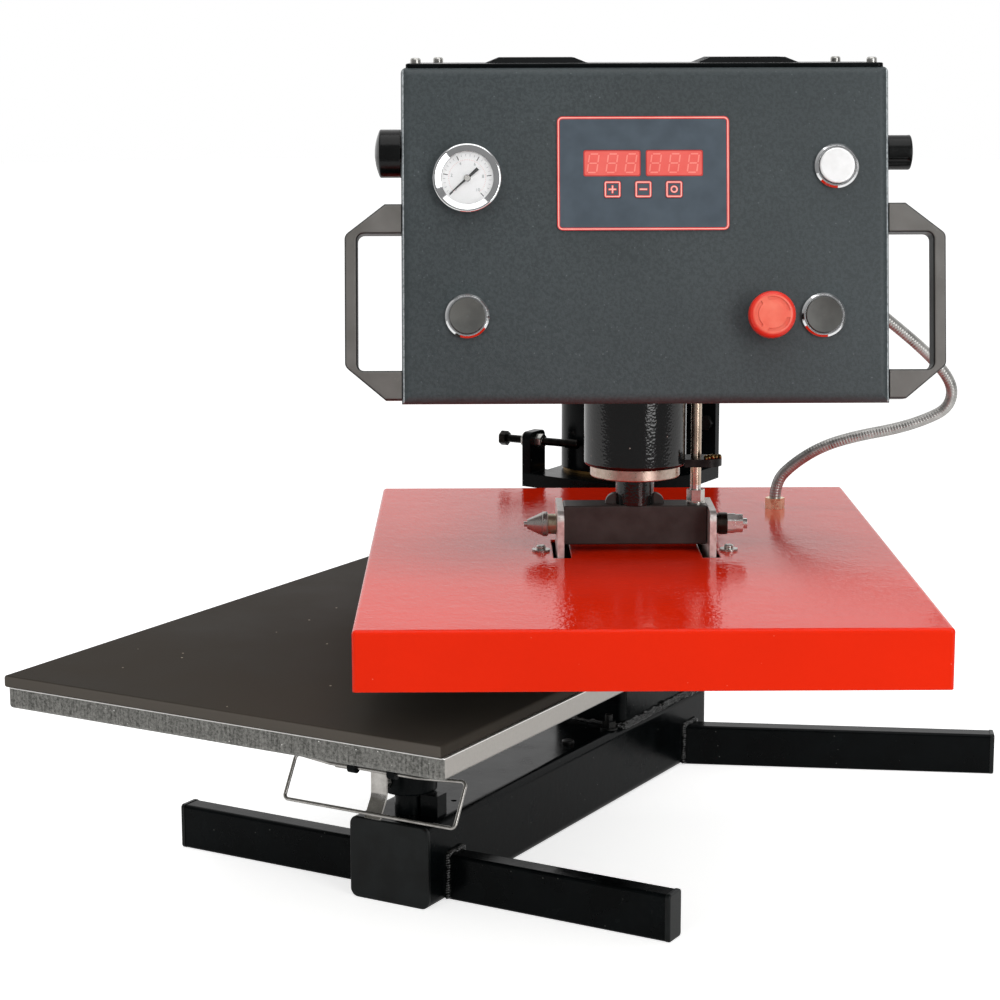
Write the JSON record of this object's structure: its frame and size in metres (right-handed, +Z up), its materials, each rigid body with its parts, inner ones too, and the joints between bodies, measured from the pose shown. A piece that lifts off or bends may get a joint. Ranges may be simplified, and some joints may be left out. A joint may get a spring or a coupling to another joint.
{
  "type": "pneumatic heat press",
  "caption": "Swing-away pneumatic heat press: welded stand, lower platen, turning head with control box and red heat plate.",
  "frame": {"origin": "on the head's swing axis, at floor level on the beam's underside", "axes": "+X to the operator's right, +Y away from the operator, +Z up; the head faces -Y at rest"},
  "size_m": [0.8379, 0.9611, 0.6669],
  "materials": {
    "black_gloss_paint": "smooth gloss black powder coat",
    "black_oxide": "black oxide steel",
    "black_plastic": "moulded black plastic",
    "grey_texture_paint": "fine texture dark grey powder coat",
    "grey_cast_paint": "satin grey paint on cast aluminium",
    "hammertone_paint": "black hammertone paint",
    "red_paint": "gloss red powder coat",
    "zinc_steel": "bright zinc plated steel",
    "chrome": "polished chrome plate",
    "bronze": "sintered bronze",
    "brass": "machined brass",
    "aluminium": "milled and sawn aluminium",
    "silicone": "dark silicone sponge",
    "mineral_wool": "mineral fibre board",
    "red_plastic": "moulded red plastic",
    "clear_glass": "clear gauge glass",
    "keypad_film": "printed polyester film",
    "stainless_conduit": "interlocked stainless conduit",
    "circuit_board": "green circuit board"
  },
  "bodies": {
    "base": {"base_beam": "black_gloss_paint", "front_leg_left": "black_gloss_paint", "front_leg_right": "black_gloss_paint", "rear_leg_left": "black_gloss_paint", "rear_leg_right": "black_gloss_paint", "end_caps": "black_plastic", "stand_bolts": "black_oxide", "tower": "black_gloss_paint", "column_post": "zinc_steel", "foot_plate": "black_gloss_paint", "stop_bolt": "black_oxide", "platen_post": "black_oxide"},
    "head": {"sleeve": "black_gloss_paint", "sleeve_bearings": "bronze", "sleeve_cap": "black_plastic", "head_arm": "black_gloss_paint", "cylinder_barrel": "hammertone_paint", "cylinder_end_ring": "bronze", "guide_bracket": "zinc_steel", "control_box": "grey_texture_paint", "box_back": "grey_texture_paint", "top_cover": "black_gloss_paint", "lid_screws": "black_oxide", "rear_fittings": "brass", "handle_left": "grey_cast_paint", "handle_right": "grey_cast_paint", "gauge_case": "black_plastic", "gauge_glass": "clear_glass", "keypad_panel": "keypad_film", "button_bezels": "chrome", "air_valves": "aluminium", "electronics": "circuit_board", "conduit": "stainless_conduit"},
    "lower_platen_body": {"platen_carrier": "black_oxide", "clamp_bolt": "zinc_steel", "lower_platen": "aluminium", "silicone_pad": "silicone"},
    "bail": {"release_bail": "zinc_steel"},
    "press": {"piston": "aluminium", "press_rod": "black_oxide", "crossbar": "black_gloss_paint", "guide_rod": "zinc_steel", "pivot_bolts": "chrome"},
    "heat_plate": {"heat_cover": "red_paint", "heating_platen": "aluminium", "insulation": "mineral_wool", "pivot_ears": "black_oxide", "cover_screws": "zinc_steel", "conduit_fitting": "brass"},
    "left_start": {"start_button_left": "black_plastic"},
    "right_start": {"start_button_right": "black_plastic"},
    "power": {"power_button": "black_plastic"},
    "stop_stem": {"estop_stem": "black_plastic"},
    "stop_mushroom": {"estop_button": "red_plastic"},
    "minus": {"key_minus": "keypad_film"},
    "plus": {"key_plus": "keypad_film"},
    "set": {"key_set": "keypad_film"},
    "needle": {"gauge_needle": "black_plastic"},
    "regulator": {"regulator_knob": "black_plastic"},
    "flow": {"flow_knob": "black_plastic"}
  },
  "joints": [
    {"name": "head_swing", "type": "hinge", "parent": "base", "child": "head", "pos_m": [0, 0, 0.45], "axis": [0, 0, 1], "range_deg": [-30.4, 64.6]},
    {"name": "press_stroke", "type": "slide", "parent": "head", "child": "press", "axis": [0, 0, -1], "range_m": [0, 0.036], "stiffness_N_per_m": 3000, "springref_m": -0.12, "deforming": ["conduit"]},
    {"name": "plate_level", "type": "hinge", "parent": "press", "child": "heat_plate", "pos_m": [0, -0.36, 0.3155], "axis": [1, 0, 0], "range_deg": [-0.3, 0.3]},
    {"name": "platen_square", "type": "hinge", "parent": "base", "child": "lower_platen_body", "pos_m": [-0.1761, -0.30016, 0.1], "axis": [0, 0, 1], "range_deg": [-10, 10]},
    {"name": "bail_pull", "type": "hinge", "parent": "lower_platen_body", "child": "bail", "pos_m": [-0.20292, -0.34587, 0.116], "axis": [-0.8625, 0.506, 0], "range_deg": [0, 25]},
    {"name": "start_left_push", "type": "slide", "parent": "head", "child": "left_start", "axis": [0, 0.9833, -0.1822], "range_m": [0, 0.0025], "stiffness_N_per_m": 800, "springref_m": -0.001},
    {"name": "start_right_push", "type": "slide", "parent": "head", "child": "right_start", "axis": [0, 0.9833, -0.1822], "range_m": [0, 0.0025], "stiffness_N_per_m": 800, "springref_m": -0.001},
    {"name": "power_push", "type": "slide", "parent": "head", "child": "power", "axis": [0, 0.9833, -0.1822], "range_m": [0, 0.0025], "stiffness_N_per_m": 800, "springref_m": -0.001},
    {"name": "stop_push", "type": "slide", "parent": "head", "child": "stop_stem", "axis": [0, 0.9833, -0.1822], "range_m": [0, 0.004], "stiffness_N_per_m": 1500, "springref_m": -0.001},
    {"name": "stop_twist", "type": "hinge", "parent": "stop_stem", "child": "stop_mushroom", "pos_m": [0.091, -0.44089, 0.48313], "axis": [0, 0.9833, -0.1822], "range_deg": [0, 30], "stiffness_Nm_per_rad": 0.05, "springref_deg": -5.73},
    {"name": "minus_push", "type": "slide", "parent": "head", "child": "minus", "axis": [0, 0.9833, -0.1822], "range_m": [0, 0.0003], "stiffness_N_per_m": 3000, "springref_m": -0.0001},
    {"name": "plus_push", "type": "slide", "parent": "head", "child": "plus", "axis": [0, 0.9833, -0.1822], "range_m": [0, 0.0003], "stiffness_N_per_m": 3000, "springref_m": -0.0001},
    {"name": "set_push", "type": "slide", "parent": "head", "child": "set", "axis": [0, 0.9833, -0.1822], "range_m": [0, 0.0003], "stiffness_N_per_m": 3000, "springref_m": -0.0001},
    {"name": "regulator_turn", "type": "hinge", "parent": "head", "child": "regulator", "pos_m": [-0.17405, -0.4, 0.5983], "axis": [1, 0, 0], "range_deg": [0, 720]},
    {"name": "needle_turn", "type": "hinge", "parent": "head", "child": "needle", "pos_m": [-0.12625, -0.42274, 0.58107], "axis": [0, 0.9833, -0.1822], "range_deg": [0, 270]},
    {"name": "flow_turn", "type": "hinge", "parent": "head", "child": "flow", "pos_m": [0.17845, -0.4, 0.5983], "axis": [-1, 0, 0], "range_deg": [0, 720]}
  ],
  "couplings": [
    {"joint": "needle_turn", "follows": "regulator_turn", "ratio": 0.375}
  ]
}
